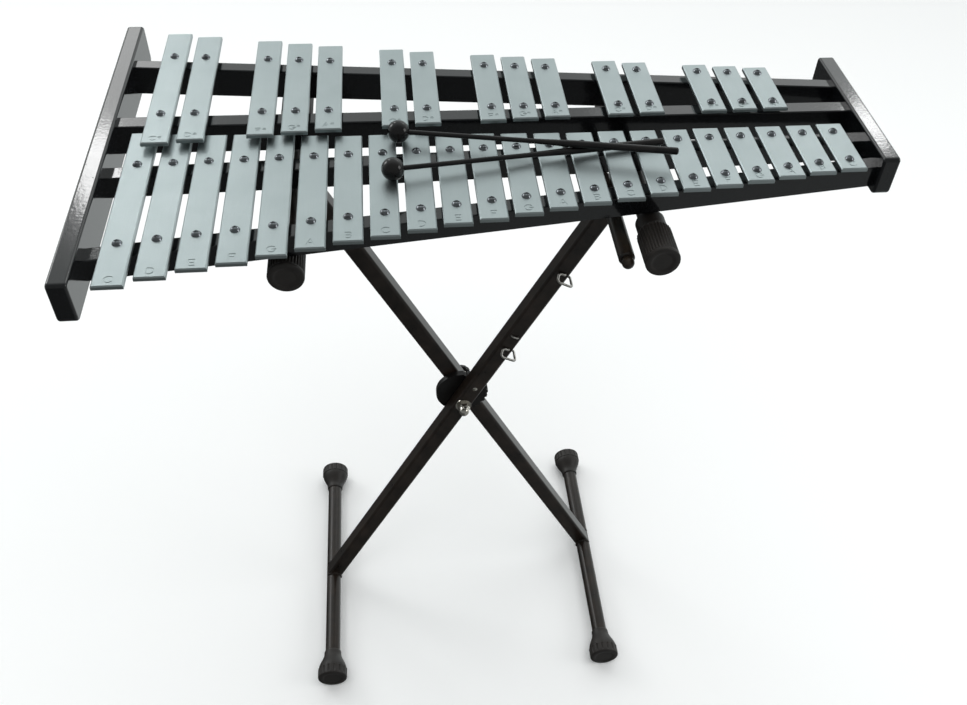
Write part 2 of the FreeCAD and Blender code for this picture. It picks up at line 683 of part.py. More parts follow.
def acorn_nut(bolt_reach):
    """Return a domed hexagon nut: seat at z = 0, dome up, with a blind bore."""
    corner_radius = NUT_ACROSS_FLATS / math.sqrt(3.0)
    corners = []
    for index in range(6):
        angle = math.radians(60.0 * index)
        corners.append((corner_radius * math.cos(angle), corner_radius * math.sin(angle), 0.0))
    hexagon = polygon_face(corners).extrude(Vector(0, 0, NUT_HEX_HEIGHT))
    crown = turned_points([
        (0.0, 0.0),
        (corner_radius - 0.5, 0.0),
        (corner_radius + 0.1, 0.7),
        (corner_radius + 0.1, NUT_HEX_HEIGHT - 1.2),
        (NUT_DOME_RADIUS + 0.3, NUT_HEX_HEIGHT),
        (0.0, NUT_HEX_HEIGHT),
    ])
    hexagon = hexagon.common(crown)
    straight = NUT_HEIGHT - NUT_DOME_RADIUS
    dome = cylinder_z(NUT_DOME_RADIUS, 0, 0, (NUT_HEX_HEIGHT - 1.0, straight))
    ball = Part.makeSphere(NUT_DOME_RADIUS, Vector(0, 0, straight))
    nut = hexagon.fuse([dome, ball]).removeSplitter()
    return nut.cut(cylinder_z(PIVOT_BOLT_RADIUS, 0, 0, (-1.0, bolt_reach)))


def clutch_knob():
    """Return the fluted hand knob: face toward the leg at z = 0."""
    shape = turned_points([
        (0.0, 0.0),
        (0.62 * KNOB_RADIUS, 0.0),
        (0.66 * KNOB_RADIUS, 0.25 * KNOB_HEIGHT),
        (KNOB_RADIUS - 1.0, 0.35 * KNOB_HEIGHT),
        (KNOB_RADIUS, 0.42 * KNOB_HEIGHT),
        (KNOB_RADIUS, KNOB_HEIGHT - 2.5),
        (KNOB_RADIUS - 2.0, KNOB_HEIGHT - 0.6),
        (0.5 * KNOB_RADIUS, KNOB_HEIGHT),
        (0.0, KNOB_HEIGHT),
    ])
    for index in range(KNOB_FLUTES):
        angle = 2.0 * math.pi * index / KNOB_FLUTES
        reach = KNOB_RADIUS + KNOB_FLUTE_OFFSET
        x, y = reach * math.cos(angle), reach * math.sin(angle)
        shape = shape.cut(cylinder_z(KNOB_FLUTE_RADIUS, x, y, (-1.0, KNOB_HEIGHT + 1.0)))
    return shape.cut(cylinder_z(PIVOT_CLEARANCE, 0, 0, (-1.0, KNOB_BOLT_DEPTH)))


def build_pivot():
    """Write the clutch discs, bolt, washers, nut and knob, front to back along the pivot axis."""
    front_face = FRONT_LEG_Y - 0.5 * LEG_SIZE
    inner_front = FRONT_LEG_Y + 0.5 * LEG_SIZE
    inner_rear = REAR_LEG_Y - 0.5 * LEG_SIZE
    rear_face = REAR_LEG_Y + 0.5 * LEG_SIZE
    seat = front_face - WASHER_THICKNESS
    rear_washer = rear_face + 0.1
    knob_face = rear_washer + WASHER_THICKNESS + 0.1
    bolt_reach = NUT_HEIGHT - 4.0
    save("clutch_disc_front", clutch_disc(PIVOT_BOLT_RADIUS, (inner_front, inner_front + DISC_THICKNESS)))
    save("clutch_disc_rear", clutch_disc(PIVOT_CLEARANCE, (inner_rear - DISC_THICKNESS, inner_rear)))
    save("pivot_washers", washer(seat), washer(rear_washer))
    nut = moved(acorn_nut(bolt_reach), (PIVOT_X, seat, PIVOT_Z), (0, -1, 0))
    save("acorn_nut", nut)
    bolt_end = knob_face + KNOB_BOLT_DEPTH - 1.0
    save("pivot_bolt", cylinder_y(PIVOT_BOLT_RADIUS, PIVOT_X, (seat - bolt_reach, bolt_end), PIVOT_Z))
    save("clutch_knob", moved(clutch_knob(), (PIVOT_X, knob_face, PIVOT_Z), (0, 1, 0)))


def accessory_rod():
    """Return the rod, with a relief groove where it leaves the leg, and its tip, along -Z from z = 0."""
    length = ROD_Y[1] - ROD_Y[0]
    relief_end = -ROD_SEAT_LENGTH - ROD_RELIEF_LENGTH
    rod = turned_points([
        (0.0, 0.0),
        (ROD_RADIUS, 0.0),
        (ROD_RADIUS, -ROD_SEAT_LENGTH),
        (ROD_RADIUS - ROD_RELIEF, -ROD_SEAT_LENGTH),
        (ROD_RADIUS - ROD_RELIEF, relief_end),
        (ROD_RADIUS, relief_end),
        (ROD_RADIUS, -length + 1.5),
        (ROD_RADIUS - 1.5, -length),
        (0.0, -length),
    ])
    neck_end = -length - ROD_GROOVE_LENGTH
    centre = neck_end - math.sqrt(ROD_TIP_RADIUS**2 - ROD_GROOVE_RADIUS**2)
    neck = cylinder_z(ROD_GROOVE_RADIUS, 0, 0, (centre, -length))
    ball = Part.makeSphere(ROD_TIP_RADIUS, Vector(0, 0, centre))
    return rod, neck.fuse(ball).removeSplitter()


def tangent_wire(points, radii):
    """Return a wire of straight runs joined by tangent arcs at the inner points."""
    vectors = [Vector(*point) for point in points]
    edges = []
    start = vectors[0]
    for index, radius in enumerate(radii, 1):
        before = (vectors[index - 1] - vectors[index]).normalize()
        after = (vectors[index + 1] - vectors[index]).normalize()
        half = 0.5 * before.getAngle(after)
        setback = radius / math.tan(half)
        first = vectors[index] + before * setback
        last = vectors[index] + after * setback
        bisector = (before + after).normalize()
        middle = vectors[index] + bisector * (radius / math.sin(half) - radius)
        if (first - start).Length > 1e-6:
            edges.append(Part.makeLine(start, first))
        edges.append(Part.Arc(first, middle, last).toShape())
        start = last
    edges.append(Part.makeLine(start, vectors[-1]))
    return Part.Wire(edges)


def wire_solid(points, radii, radius):
    """Return a round wire bent along the given points."""
    path = tangent_wire(points, radii)
    direction = Vector(*points[1]) - Vector(*points[0])
    ring = Part.Wire(Part.makeCircle(radius, Vector(*points[0]), direction))
    return path.makePipeShell([ring], True, False)


def wire_clip(along):
    """Return a wire eye in leg coordinates, from the front wall round the corner into the side wall."""
    face = -0.5 * LEG_SIZE
    near = face - 1.3 * CLIP_WIRE_RADIUS
    front = face - CLIP_REACH
    right = face - CLIP_OVERHANG
    points = [
        (along + CLIP_RISE, face + TUBE_WALL, CLIP_ROOT),
        (along + CLIP_RISE, near, CLIP_ROOT),
        (along + CLIP_RISE, near, CLIP_LEFT),
        (along, front, CLIP_LEFT),
        (along, front, right),
        (along, CLIP_SIDE_Y, right),
        (along, CLIP_SIDE_Y, face + TUBE_WALL),
    ]
    bends = [CLIP_END_BEND, CLIP_BEND, CLIP_BEND, CLIP_BEND, CLIP_END_BEND]
    return wire_solid(points, bends, CLIP_WIRE_RADIUS)


def wire_staple():
    """Return a short bent wire across the leg with both ends in its front wall."""
    face = -0.5 * LEG_SIZE
    half = 0.5 * STAPLE_LENGTH
    points = [
        (STAPLE_ALONG_LEG, face + TUBE_WALL, half),
        (STAPLE_ALONG_LEG, face - STAPLE_RADIUS, half),
        (STAPLE_ALONG_LEG, face - STAPLE_RADIUS, -half),
        (STAPLE_ALONG_LEG, face + TUBE_WALL, -half),
    ]
    return wire_solid(points, [STAPLE_RADIUS, STAPLE_RADIUS], STAPLE_WIRE_RADIUS)


def build_stand():
    """Write the legs, arms, feet, rubber parts and fittings."""
    front_holes = [(RIVET_ALONG_LEG, 0.0, RIVET_SHANK_RADIUS)]
    front_holes += [(along + CLIP_RISE, CLIP_ROOT, CLIP_WIRE_RADIUS) for along in CLIP_ALONG_LEG]
    for end in (-0.5, 0.5):
        front_holes.append((STAPLE_ALONG_LEG, end * STAPLE_LENGTH, STAPLE_WIRE_RADIUS))
    side_holes = [(along, CLIP_SIDE_Y, CLIP_WIRE_RADIUS) for along in CLIP_ALONG_LEG]
    rear_leg = leg(TUBE_RADIUS + MOVING_GAP, PIVOT_CLEARANCE, [], [])
    front_leg = leg(TUBE_RADIUS, PIVOT_BOLT_RADIUS, front_holes, side_holes)
    save("leg_a", on_leg(rear_leg, -1, REAR_LEG_Y))
    save("leg_b", on_leg(front_leg, 1, FRONT_LEG_Y))

    for name, side, bore, end_gap in (("a", -1, SLEEVE_A_BORE, MOVING_GAP), ("b", 1, TUBE_RADIUS, 0.0)):
        x, z = leg_end(side, LEG_UPPER)
        save(f"arm_{name}", round_tube(x, z, ARM_Y))
        save(f"arm_{name}_sleeves", *arm_sleeves(x, z, bore, end_gap))
    for name, side in (("left", 1), ("right", -1)):
        x, z = leg_end(side, -LEG_LOWER)
        save(f"{name}_foot_tube", round_tube(x, z, FOOT_Y))
        save(f"{name}_foot_caps", *foot_caps(x))

    local_rod_z = 0.5 * LEG_SIZE + ROD_RADIUS
    rod_place = Vector(ROD_ALONG_LEG, ROD_Y[1] - FRONT_LEG_Y, local_rod_z)
    rod_parts = [moved(part, tuple(rod_place), (0, 1, 0)) for part in accessory_rod()]
    save("accessory_rod", *[on_leg(part, 1, FRONT_LEG_Y) for part in rod_parts])

    face = -0.5 * LEG_SIZE
    head_radius = (RIVET_HEAD_RADIUS**2 + RIVET_HEAD_HEIGHT**2) / (2 * RIVET_HEAD_HEIGHT)
    ball = Part.makeSphere(head_radius, Vector(RIVET_ALONG_LEG, face - RIVET_HEAD_HEIGHT + head_radius, 0))
    head = ball.common(cylinder_y(RIVET_HEAD_RADIUS, RIVET_ALONG_LEG, (face - 3.0, face), 0.0))
    rivet = head.fuse(cylinder_y(RIVET_SHANK_RADIUS, RIVET_ALONG_LEG, (face, face + TUBE_WALL + 1.0), 0.0))
    save("leg_b_rivet", on_leg(rivet, 1, FRONT_LEG_Y))

    clips = [wire_clip(along) for along in CLIP_ALONG_LEG] + [wire_staple()]
    save("wire_clips", *[on_leg(clip, 1, FRONT_LEG_Y) for clip in clips])


# ---------------------------------------------------------------- mallets
def mallet(head, end):
    """Return the head and shaft of a mallet whose axis runs from the head's centre to the end."""
    axis = Vector(*end) - Vector(*head)
    length = axis.Length
    grip_start = length - MALLET_GRIP_LENGTH
    shaft = turned_points([
        (0.0, MALLET_HEAD_RADIUS - MALLET_SOCKET_DEPTH),
        (MALLET_SHAFT_RADIUS, MALLET_HEAD_RADIUS - MALLET_SOCKET_DEPTH),
        (MALLET_SHAFT_RADIUS, grip_start - MALLET_TAPER_LENGTH),
        (MALLET_GRIP_RADIUS, grip_start),
        (MALLET_GRIP_RADIUS, length - 1.2),
        (MALLET_GRIP_RADIUS - 1.2, length),
        (0.0, length),
    ])
    ball = Part.makeSphere(MALLET_HEAD_RADIUS)
    socket = cylinder_z(MALLET_SHAFT_RADIUS, 0, 0, (MALLET_HEAD_RADIUS - MALLET_SOCKET_DEPTH, 20.0))
    place = (tuple(head), tuple(axis))
    return moved(ball.cut(socket), *place), moved(shaft, *place)


def build_mallets():
    """Write the two mallets: one lies on the bars, the other across its shaft."""
    head_z = NATURAL_TOP + REST_GAP + MALLET_HEAD_RADIUS
    grip_z = NATURAL_TOP + REST_GAP + MALLET_GRIP_RADIUS
    poses = (
        (UPPER_MALLET_HEAD + (head_z,), UPPER_MALLET_END + (head_z + UPPER_MALLET_RISE,)),
        (LOWER_MALLET_HEAD + (head_z,), LOWER_MALLET_END + (grip_z,)),
    )
    for number, (head, end) in enumerate(poses, 1):
        ball, shaft = mallet(head, end)
        save(f"mallet_{number}_head", ball)
        save(f"mallet_{number}_shaft", shaft)


def main():
    """Build and write every sub-part."""
    os.makedirs("parts", exist_ok=True)
    naturals, sharps = all_bars()
    build_bars(naturals, sharps)
    build_frame(naturals, sharps)
    build_stand()
    build_pivot()
    build_mallets()


main()
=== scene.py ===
"""Looks of a two-row metal-bar glockenspiel that rests on a folding X-stand.

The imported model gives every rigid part. This script gives each part its finish, replaces the rubber
sleeves and foot caps with moulded ones, adds the weld beads of the stand, and sets up the studio.
Lengths are in metres unless a name ends in _mm.
"""
import json
import logging
import math
from dataclasses import dataclass
from enum import Enum

import bpy
import numpy as np
from mathutils import Matrix, Vector

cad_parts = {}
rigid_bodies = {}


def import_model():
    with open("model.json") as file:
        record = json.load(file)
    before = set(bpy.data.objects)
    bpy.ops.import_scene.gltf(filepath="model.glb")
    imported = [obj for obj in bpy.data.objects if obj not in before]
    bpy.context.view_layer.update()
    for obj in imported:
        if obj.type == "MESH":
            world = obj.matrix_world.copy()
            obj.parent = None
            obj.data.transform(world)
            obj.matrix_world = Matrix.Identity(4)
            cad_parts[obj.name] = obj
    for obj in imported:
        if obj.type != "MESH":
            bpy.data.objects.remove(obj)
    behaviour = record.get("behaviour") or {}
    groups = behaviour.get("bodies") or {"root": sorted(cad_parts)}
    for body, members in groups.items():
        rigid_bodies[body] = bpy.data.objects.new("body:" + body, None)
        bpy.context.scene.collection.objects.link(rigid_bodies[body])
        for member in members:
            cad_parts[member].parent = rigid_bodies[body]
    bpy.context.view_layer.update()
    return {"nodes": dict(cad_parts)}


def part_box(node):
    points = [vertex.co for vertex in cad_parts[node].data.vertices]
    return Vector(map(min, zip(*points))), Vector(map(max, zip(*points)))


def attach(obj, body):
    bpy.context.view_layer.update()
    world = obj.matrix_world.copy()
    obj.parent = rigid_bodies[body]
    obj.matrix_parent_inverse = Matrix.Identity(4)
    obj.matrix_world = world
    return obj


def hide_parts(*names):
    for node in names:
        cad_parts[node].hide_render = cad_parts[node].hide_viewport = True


for leftover in list(bpy.data.objects):
    bpy.data.objects.remove(leftover)
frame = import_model()

log = logging.getLogger("glockenspiel")
MM = 0.001


# ---------------------------------------------------------------- helpers
def linear_colour(code: str) -> tuple[float, float, float, float]:
    """Turn an sRGB hex colour into linear RGBA.

    Args:
        code: six hex digits with a leading #.

    Returns:
        Linear red, green and blue with alpha 1.
    """
    channels = [int(code[i:i + 2], 16) / 255 for i in (1, 3, 5)]
    linear = [c / 12.92 if c <= 0.04045 else ((c + 0.055) / 1.055) ** 2.4 for c in channels]
    return (*linear, 1.0)


def per_mm(size_mm: float) -> float:
    """Return the texture scale that makes one feature size_mm wide in metre coordinates."""
    return 1.0 / (size_mm * MM)


def add_node(tree: bpy.types.NodeTree, kind: str, inputs: dict | None = None,
             **settings) -> bpy.types.Node:
    """Add one shader node.

    Args:
        tree: the material's node tree.
        kind: the node type's identifier.
        inputs: value or output socket for each input, by name or index.
        settings: properties of the node; "stops" fills a colour ramp with (position, grey) pairs.

    Returns:
        The new node.
    """
    node = tree.nodes.new(kind)
    for name, value in settings.items():
        if name == "stops":
            ramp = node.color_ramp
            for element, (position, grey) in zip((ramp.elements[0], ramp.elements[1]), value):
                element.position = position
                element.color = (grey, grey, grey, 1.0)
        else:
            setattr(node, name, value)
    for name, value in (inputs or {}).items():
        if isinstance(value, bpy.types.NodeSocket):
            tree.links.new(value, node.inputs[name])
        else:
            node.inputs[name].default_value = value
    return node


def smoothstep(low: float, high: float, value: np.ndarray) -> np.ndarray:
    """Return 0 below low, 1 above high, and 3t^2 - 2t^3 between."""
    t = np.clip((value - low) / (high - low), 0.0, 1.0)
    return t * t * (3.0 - 2.0 * t)


def along_profile(points_mm: list[tuple[float, float]], step_mm: float) -> np.ndarray:
    """Divide a profile of straight runs into short steps, keeping its corners.

    Args:
        points_mm: (distance along the axis, radius) pairs.
        step_mm: the longest step.

    Returns:
        An array of (distance, radius) rows.
    """
    corners = np.asarray(points_mm, dtype=float)
    runs = []
    for start, end in zip(corners[:-1], corners[1:]):
        count = max(1, int(np.ceil(np.linalg.norm(end - start) / step_mm)))
        t = np.arange(count)[:, None] / count
        runs.append(start + (end - start) * t)
    return np.vstack(runs + [corners[-1:]])


def rings_to_mesh(name: str, shells: list[np.ndarray], sharp_deg: float = 35.0) -> bpy.types.Object:
    """Build one object from closed shells of rings.

    Each shell is a grid of points, rows along its length and columns around it. Rows are joined by
    quads that wrap around, and a fan of triangles closes each end at the mean of its last ring. A
    shell whose signed volume is negative is turned so that its faces point outwards.

    Args:
        name: name of the object.
        shells: arrays of shape (rows, columns, 3), in metres.
        sharp_deg: edges sharper than this stay sharp.

    Returns:
        The new object, linked to the scene.
    """
    vertices, faces, offset = [], [], 0
    for grid in shells:
        rows, columns, _ = grid.shape
        index = np.arange(rows * columns).reshape(rows, columns)
        after = np.roll(index, -1, axis=1)
        quads = np.stack([index[:-1], after[:-1], after[1:], index[1:]], axis=-1).reshape(-1, 4)
        first = np.full(columns, rows * columns)
        fan_start = np.stack([first, after[0], index[0]], axis=-1)
        fan_end = np.stack([first + 1, index[-1], after[-1]], axis=-1)
        points = np.vstack([grid.reshape(-1, 3), grid[0].mean(axis=0), grid[-1].mean(axis=0)])
        triangles = np.vstack([quads[:, [0, 1, 2]], quads[:, [0, 2, 3]], fan_start, fan_end])
        a, b, c = (points[triangles[:, k]] for k in range(3))
        if np.einsum("ij,ij->i", a, np.cross(b, c)).sum() < 0:
            quads, fan_start, fan_end = quads[:, ::-1], fan_start[:, ::-1], fan_end[:, ::-1]
        vertices.append(points)
        for block in (quads, fan_start, fan_end):
            faces += (block + offset).tolist()
        offset += len(points)
    mesh = bpy.data.meshes.new(name)
    mesh.from_pydata(np.vstack(vertices).tolist(), [], faces)
    mesh.polygons.foreach_set("use_smooth", np.ones(len(mesh.polygons), dtype=bool))
    mesh.set_sharp_from_angle(angle=math.radians(sharp_deg))
    mesh.validate()
    thing = bpy.data.objects.new(name, mesh)
    bpy.context.scene.collection.objects.link(thing)
    return thing


def turned(centre: Vector, end: float, inward: float, distance_mm: np.ndarray, reach_mm: np.ndarray,
           turn: np.ndarray) -> np.ndarray:
    """Turn a profile about a line along Y.

    A point stands reach_mm from the line in the direction of its angle, and its y is the closed end
    plus its distance inward.

    Args:
        centre: a point on the line.
        end: y of the closed end.
        inward: 1 when the piece runs towards +Y from its closed end, otherwise -1.
        distance_mm: distance along the line, one row per ring.
        reach_mm: distance from the line, rings by angles.
        turn: the angles.

    Returns:
        Points of shape (rings, angles, 3), in metres.
    """
    x = centre.x + reach_mm * MM * np.cos(turn)
    z = centre.z + reach_mm * MM * np.sin(turn)
    y = np.broadcast_to(end + inward * distance_mm * MM, x.shape)
    return np.stack([x, y, z], axis=-1)


def corners(node: str) -> tuple[Vector, Vector]:
    """Return a part's lowest and highest corners at rest."""
    low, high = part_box(node)
    return Vector(low), Vector(high)


def place(piece: bpy.types.Object, body: str, material: bpy.types.Material) -> None:
    """Dress a new piece and make it move with a body.

    Args:
        piece: the object.
        body: the body that it rides on.
        material: its finish.
    """
    piece.data.materials.clear()
    piece.data.materials.append(material)
    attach(piece, body)
    log.info("%s rides on %s with %d faces", piece.name, body, len(piece.data.polygons))


def dress(nodes: list[str], material: bpy.types.Material) -> None:
    """Give carried-over parts their finish."""
    for name in nodes:
        frame["nodes"][name].data.materials.clear()
        frame["nodes"][name].data.materials.append(material)
    log.info("%s on %d parts", material.name, len(nodes))


# ---------------------------------------------------------------- finishes
@dataclass(frozen=True)
class Finish:
    """A surface finish: what it is made of and how its surface reads."""

    name: str
    colour: str
    roughness: float
    metallic: float = 0.0
    specular: float = 0.5
    coat: float = 0.0
    coat_roughness: float = 0.03
    second_colour: str = "#808080"
    spread: float = 0.08
    depth_mm: float = 0.05

    def start(self) -> tuple[bpy.types.NodeTree, bpy.types.Node, bpy.types.NodeSocket]:
        """Make the material with its shader and coordinates.

        Returns:
            The node tree, the shader and the object coordinates in metres.
        """
        material = bpy.data.materials.new(self.name)
        material.use_nodes = True
        tree = material.node_tree
        shader = tree.nodes["Principled BSDF"]
        shader.inputs["Base Color"].default_value = linear_colour(self.colour)
        shader.inputs["Roughness"].default_value = self.roughness
        shader.inputs["Metallic"].default_value = self.metallic
        shader.inputs["Specular IOR Level"].default_value = self.specular
        shader.inputs["Coat Weight"].default_value = self.coat
        shader.inputs["Coat Roughness"].default_value = self.coat_roughness
        place_in_object = add_node(tree, "ShaderNodeTexCoord").outputs["Object"]
        return tree, shader, place_in_object

    def wear(self, tree: bpy.types.NodeTree, shader: bpy.types.Node, tone: bpy.types.NodeSocket,
             gloss: bpy.types.NodeSocket, height: bpy.types.NodeSocket) -> bpy.types.Material:
        """Let three patterns change the colour, the roughness and the relief.

        Args:
            tree: the material's node tree.
            shader: its shader.
            tone: 0 to 1, blends the base colour towards the second one.
            gloss: 0 to 1, moves the roughness by up to the spread either way.
            height: raises the surface, depth_mm deep.

        Returns:
            The finished material.
        """
        blend = add_node(tree, "ShaderNodeMix", {0: tone}, data_type="RGBA")
        blend.inputs[6].default_value = linear_colour(self.colour)
        blend.inputs[7].default_value = linear_colour(self.second_colour)
        tree.links.new(blend.outputs[2], shader.inputs["Base Color"])
        span = add_node(tree, "ShaderNodeMapRange",
                        {"Value": gloss, "To Min": self.roughness - self.spread,
                         "To Max": self.roughness + self.spread})
        tree.links.new(span.outputs["Result"], shader.inputs["Roughness"])
        raised = add_node(tree, "ShaderNodeBump", {"Height": height, "Strength": 1.0,
                                                   "Distance": self.depth_mm * MM})
        tree.links.new(raised.outputs["Normal"], shader.inputs["Normal"])
        if self.coat:
            tree.links.new(raised.outputs["Normal"], shader.inputs["Coat Normal"])
        return bpy.data.materials[self.name]


@dataclass(frozen=True)
class SatinAluminium(Finish):
    """Extruded aluminium flat bar, linished along its length and clear anodised: a soft silver sheen."""

    grain_mm: float = 0.9
    streak_mm: float = 1.1
    streak_length_mm: float = 28.0
    patch_mm: float = 34.0
    second_colour: str = "#c9d2d3"
    spread: float = 0.07
    depth_mm: float = 0.07

    def material(self) -> bpy.types.Material:
        """Return the material, with streaks along Y, a fine grain and slow changes of tone."""
        tree, shader, where = self.start()
        stretched = add_node(tree, "ShaderNodeMapping", {"Vector": where})
        stretched.inputs["Scale"].default_value = (
            per_mm(self.streak_mm), per_mm(self.streak_length_mm), per_mm(self.streak_mm))
        streaks = add_node(tree, "ShaderNodeTexNoise", {"Vector": stretched.outputs[0], "Scale": 1.0,
                                                        "Detail": 3.0, "Roughness": 0.6})
        grain = add_node(tree, "ShaderNodeTexNoise", {"Vector": where, "Scale": per_mm(self.grain_mm),
                                                      "Detail": 2.0})
        patch = add_node(tree, "ShaderNodeTexNoise", {"Vector": where, "Scale": per_mm(self.patch_mm),
                                                      "Detail": 2.0})
        mixed = add_node(tree, "ShaderNodeMath", {0: streaks.outputs[0], 1: grain.outputs[0]},
                         operation="ADD")
        halved = add_node(tree, "ShaderNodeMath", {0: mixed.outputs[0], 1: 0.5}, operation="MULTIPLY")
        worn = add_node(tree, "ShaderNodeMath", {0: halved.outputs[0], 1: patch.outputs[0]},
                        operation="MULTIPLY")
        return self.wear(tree, shader, worn.outputs[0], halved.outputs[0], halved.outputs[0])


@dataclass(frozen=True)
class BlackLacquer(Finish):
    """Sprayed black lacquer on hardwood: a deep gloss with orange peel, dust nibs and rubbed patches."""

    peel_mm: float = 3.2
    nib_mm: float = 9.0
    nib_height: float = 0.6
    rub_mm: float = 60.0
    second_colour: str = "#3b3d40"
    spread: float = 0.06

    def material(self) -> bpy.types.Material:
        """Return the material: peel and nibs raise the surface, and rubbing dulls it in patches."""
        tree, shader, where = self.start()
        peel = add_node(tree, "ShaderNodeTexNoise", {"Vector": where, "Scale": per_mm(self.peel_mm),
                                                     "Detail": 2.5})
        cells = add_node(tree, "ShaderNodeTexVoronoi", {"Vector": where, "Scale": per_mm(self.nib_mm)})
        nibs = add_node(tree, "ShaderNodeValToRGB", {"Fac": cells.outputs["Distance"]},
                        stops=((0.03, 1.0), (0.075, 0.0)))
        rubbed = add_node(tree, "ShaderNodeTexNoise", {"Vector": where, "Scale": per_mm(self.rub_mm),
                                                       "Detail": 5.0, "Roughness": 0.65})
        raised = add_node(tree, "ShaderNodeMath",
                          {0: nibs.outputs[0], 1: self.nib_height, 2: peel.outputs[0]},
                          operation="MULTIPLY_ADD")
        dusty = add_node(tree, "ShaderNodeMath", {0: nibs.outputs[0], 1: rubbed.outputs[0]},
                         operation="MULTIPLY")
        return self.wear(tree, shader, dusty.outputs[0], rubbed.outputs[0], raised.outputs[0])


@dataclass(frozen=True)
class PebbledCoat(Finish):
    """A fine pebble texture with slow tone changes, as powder coat and moulded rubber have."""

    pebble_mm: float = 1.4
    patch_mm: float = 26.0
    second_colour: str = "#1c1a19"

    def material(self) -> bpy.types.Material:
        """Return the material: pebbles raise the surface, and patches change its tone and gloss."""
        tree, shader, where = self.start()
        pebbles = add_node(tree, "ShaderNodeTexNoise", {"Vector": where, "Scale": per_mm(self.pebble_mm),
                                                        "Detail": 3.0})
        patch = add_node(tree, "ShaderNodeTexNoise", {"Vector": where, "Scale": per_mm(self.patch_mm),
                                                      "Detail": 6.0, "Roughness": 0.7})
        tone = add_node(tree, "ShaderNodeValToRGB", {"Fac": patch.outputs[0]},
                        stops=((0.35, 0.0), (0.7, 1.0)))
        return self.wear(tree, shader, tone.outputs[0], patch.outputs[0], pebbles.outputs[0])


@dataclass(frozen=True)
class PolishedMetal(Finish):
    """Plated steel: a bright mirror with hairlines and faint haze where it has been handled."""

    hairline_mm: float = 0.5
    haze_mm: float = 7.0
    second_colour: str = "#6c655c"
    depth_mm: float = 0.01

    def material(self) -> bpy.types.Material:
        """Return the material: hairlines raise the surface, and haze dulls and browns it."""
        tree, shader, where = self.start()
        hair = add_node(tree, "ShaderNodeTexNoise", {"Vector": where, "Scale": per_mm(self.hairline_mm),
                                                     "Detail": 2.0})
        haze = add_node(tree, "ShaderNodeTexNoise", {"Vector": where, "Scale": per_mm(self.haze_mm),
                                                     "Detail": 4.0, "Roughness": 0.6})
        spots = add_node(tree, "ShaderNodeValToRGB", {"Fac": haze.outputs[0]},
                         stops=((0.5, 0.0), (0.8, 1.0)))
        return self.wear(tree, shader, spots.outputs[0], haze.outputs[0], hair.outputs[0])


class Shade(Enum):
    """Every finish of the instrument and its stand."""

    BARS = SatinAluminium("satin_aluminium", "#adb7b8", 0.42, metallic=1.0)
    WOOD = BlackLacquer("black_lacquer", "#0c0d0f", 0.13, specular=0.4, coat=0.5, coat_roughness=0.05)
    TUBE = PebbledCoat("black_powder_coat", "#15110e", 0.3, pebble_mm=1.3, depth_mm=0.05, specular=0.4,
                       second_colour="#2a211b")
    DISC = PebbledCoat("black_enamel_on_pressed_steel", "#0d0b0a", 0.36, pebble_mm=2.2, depth_mm=0.04,
                       specular=0.35)
    RUBBER = PebbledCoat("moulded_rubber", "#1b1816", 0.5, pebble_mm=1.0, depth_mm=0.09,
                         second_colour="#27221f", spread=0.1)
    GROMMET = PebbledCoat("grommet_rubber", "#1b1b1b", 0.7, pebble_mm=0.8, depth_mm=0.06)
    SCREW = PolishedMetal("dark_chrome_screws", "#84888c", 0.12, metallic=1.0, second_colour="#3c3b3a")
    NICKEL = PolishedMetal("nickel_plate", "#d6d1c8", 0.16, metallic=1.0)
    WIRE = PolishedMetal("zinc_plated_wire", "#bdbbb6", 0.3, metallic=1.0)
    ROD = PebbledCoat("worn_black_enamel", "#100e0d", 0.34, pebble_mm=3.0, depth_mm=0.03, patch_mm=12.0,
                      second_colour="#33291f")
    KNOB = PebbledCoat("moulded_nylon", "#121111", 0.45, pebble_mm=0.9, depth_mm=0.05)
    BALL = PebbledCoat("cast_resin", "#090a0d", 0.06, pebble_mm=5.0, depth_mm=0.015, specular=0.4,
                       spread=0.02)
    STICK = PebbledCoat("lacquered_stick", "#0b0b0d", 0.22, pebble_mm=4.0, depth_mm=0.03, specular=0.4)

    def build(self) -> bpy.types.Material:
        """Return the finish's material, made once."""
        ready = bpy.data.materials.get(self.value.name)
        return ready or self.value.material()


# ---------------------------------------------------------------- the instrument
@dataclass
class Instrument:
    """Bars, screws, spacers and the lacquered frame, all of them parts of the model."""

    bar_prefixes: tuple[str, ...] = ("bar_a", "bar_b", "bar_c", "bar_d", "bar_e", "bar_f", "bar_g",
                                     "sharp_bars")

    def finish(self) -> None:
        """Dress every part of the instrument."""
        fixings = {"bar_screws": Shade.SCREW, "frame_screws": Shade.SCREW, "bar_grommets": Shade.GROMMET}
        bars = [n for n in frame["nodes"] if n.startswith(self.bar_prefixes)]
        wood = [n for n in frame["nodes"] if n.endswith(("_block", "_rail"))]
        dress(bars, Shade.BARS.build())
        dress(wood, Shade.WOOD.build())
        for name, shade in fixings.items():
            dress([name], shade.build())


@dataclass
class Mallets:
    """Two ball mallets that lie on the bars."""

    def finish(self) -> None:
        """Dress the balls and the sticks."""
        parts = [name for name in frame["nodes"] if name.startswith("mallet_")]
        for ending, shade in (("_head", Shade.BALL), ("_shaft", Shade.STICK)):
            dress([name for name in parts if name.endswith(ending)], shade.build())


